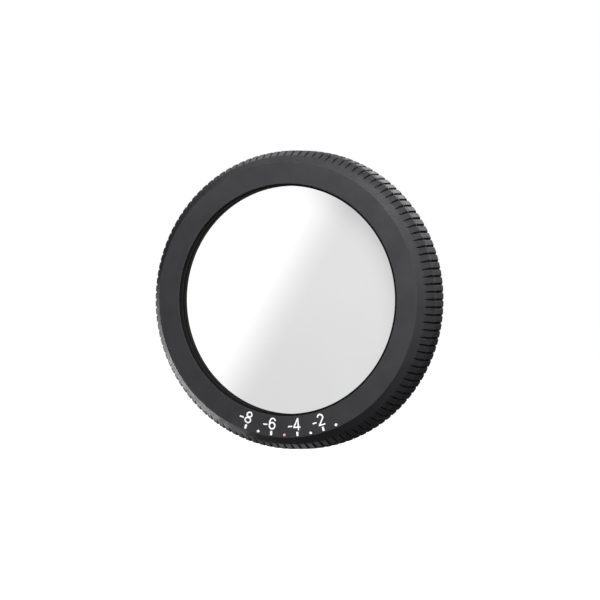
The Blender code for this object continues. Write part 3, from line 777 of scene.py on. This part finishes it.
def dress_frame_nodes():
    looks = {"guide_barrel": CELL_BLACK, "snap_ring": SPRING_STEEL, "wave_spring": SPRING_STEEL,
             "stop_pin": SPRING_STEEL, "glide_washer": PTFE, "damping_o_ring": RUBBER,
             "lens_gasket": RUBBER, "rear_retaining_ring": CELL_BLACK}
    for number in range(1, 5):
        looks[f"collar_screw_{number}"] = SCREW_STEEL
    for number in range(1, 4):
        looks[f"follower_pin_{number}"] = SPRING_STEEL
        looks[f"follower_roller_{number}"] = BRASS
    for name, material in looks.items():
        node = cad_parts[name]
        node.data.materials.clear()
        node.data.materials.append(material)


# ---------------------------------------------------------------- stage, light, camera

def make_stage():
    """A plain pale floor under the ring, and a pale world."""
    floor_z = CAD_BOX[0][2]
    bpy.ops.mesh.primitive_plane_add(size=8.0, location=(0.0, 0.0, floor_z))
    floor = bpy.context.object
    floor.name = "floor"
    material, _, shader = new_material("pale_floor", 0.9)
    shader.inputs["Base Color"].default_value = (0.8, 0.8, 0.8, 1.0)
    shader.inputs["Specular IOR Level"].default_value = 0.0
    shader.inputs["Emission Color"].default_value = (1.0, 1.0, 1.0, 1.0)
    shader.inputs["Emission Strength"].default_value = 1.0
    floor.data.materials.append(material)
    floor.visible_diffuse = False
    floor.visible_glossy = False

    world = bpy.data.worlds.new("pale_world")
    bpy.context.scene.world = world
    world.use_nodes = True
    nodes = world.node_tree.nodes
    links = world.node_tree.links
    shown = nodes["Background"]
    shown.inputs["Color"].default_value = (1.0, 1.0, 1.0, 1.0)
    lighting = nodes.new("ShaderNodeBackground")
    lighting.inputs["Color"].default_value = (0.95, 0.97, 1.0, 1.0)
    lighting.inputs["Strength"].default_value = WORLD_LIGHT
    mix = nodes.new("ShaderNodeMixShader")
    links.new(nodes.new("ShaderNodeLightPath").outputs["Is Camera Ray"], mix.inputs["Fac"])
    links.new(lighting.outputs["Background"], mix.inputs[1])
    links.new(shown.outputs["Background"], mix.inputs[2])
    links.new(mix.outputs["Shader"], nodes["World Output"].inputs["Surface"])


WORLD_LIGHT = 0.055
# Soft square panels: name, direction from the ring, distance, size and brightness, in
# metres and watts per square metre and steradian.
PANELS = (
    ("front_right", (0.30, -0.95, 0.15), 0.7, 0.4, 4.8),
    ("near_top_right", (0.43, -0.60, 0.68), 0.16, 0.10, 11.4),
    ("near_right", (0.75, -0.62, 0.20), 0.16, 0.08, 1.2),
    ("back_high", (0.0, 0.93, 0.36), 0.5, 0.2, 2.1),
    ("back_right", (0.30, 0.93, 0.12), 0.5, 0.2, 0.25),
    ("top_back_left", (-0.42, 0.68, 0.58), 0.5, 0.2, 1.3),
    ("left_back", (-0.78, 0.60, -0.10), 0.5, 0.12, 2.0),
    ("left_back_low", (-0.76, 0.55, -0.33), 0.5, 0.16, 3.4),
    ("left_low", (-0.70, 0.45, -0.58), 0.5, 0.16, 2.8),
    ("low_back", (-0.30, 0.62, -0.72), 0.5, 0.16, 1.5),
)


def make_lights():
    for name, direction, distance, size, brightness in PANELS:
        data = bpy.data.lights.new(name, "AREA")
        data.shape = "RECTANGLE"
        data.size = size
        data.size_y = size
        data.energy = brightness * math.pi * size * size
        lamp = bpy.data.objects.new(name, data)
        bpy.context.scene.collection.objects.link(lamp)
        away = Vector(direction).normalized()
        lamp.location = away * distance
        lamp.rotation_euler = away.to_track_quat("Z", "Y").to_euler()


def make_camera():
    """A long lens, level with the axis and 20.9 degrees to its right."""
    azimuth = math.radians(20.87)
    view_width = 112.9 * MM
    distance = 3.2
    data = bpy.data.cameras.new("camera")
    data.sensor_width = 36.0
    data.lens = data.sensor_width * distance / view_width
    data.clip_end = 50.0
    camera = bpy.data.objects.new("camera", data)
    bpy.context.scene.collection.objects.link(camera)
    away = Vector((math.sin(azimuth), -math.cos(azimuth), 0.0))
    across = Vector((math.cos(azimuth), math.sin(azimuth), 0.0))
    face_centre = Vector((0.0, -FACE_H * MM, 0.0))
    aim = face_centre + across * 2.34 * MM - Vector((0.0, 0.0, 0.04 * MM))
    camera.location = aim + away * distance
    camera.rotation_euler = away.to_track_quat("Z", "Y").to_euler()
    bpy.context.scene.camera = camera


make_camera()
make_front_ring()
make_rear_ring()
make_front_lens()
make_rear_lens()
make_front_retaining_ring()
make_lens_cell()
make_mount_collar()
make_scale()
make_index_dot()
dress_frame_nodes()
make_stage()
make_lights()
bpy.context.scene.view_settings.view_transform = "Standard"
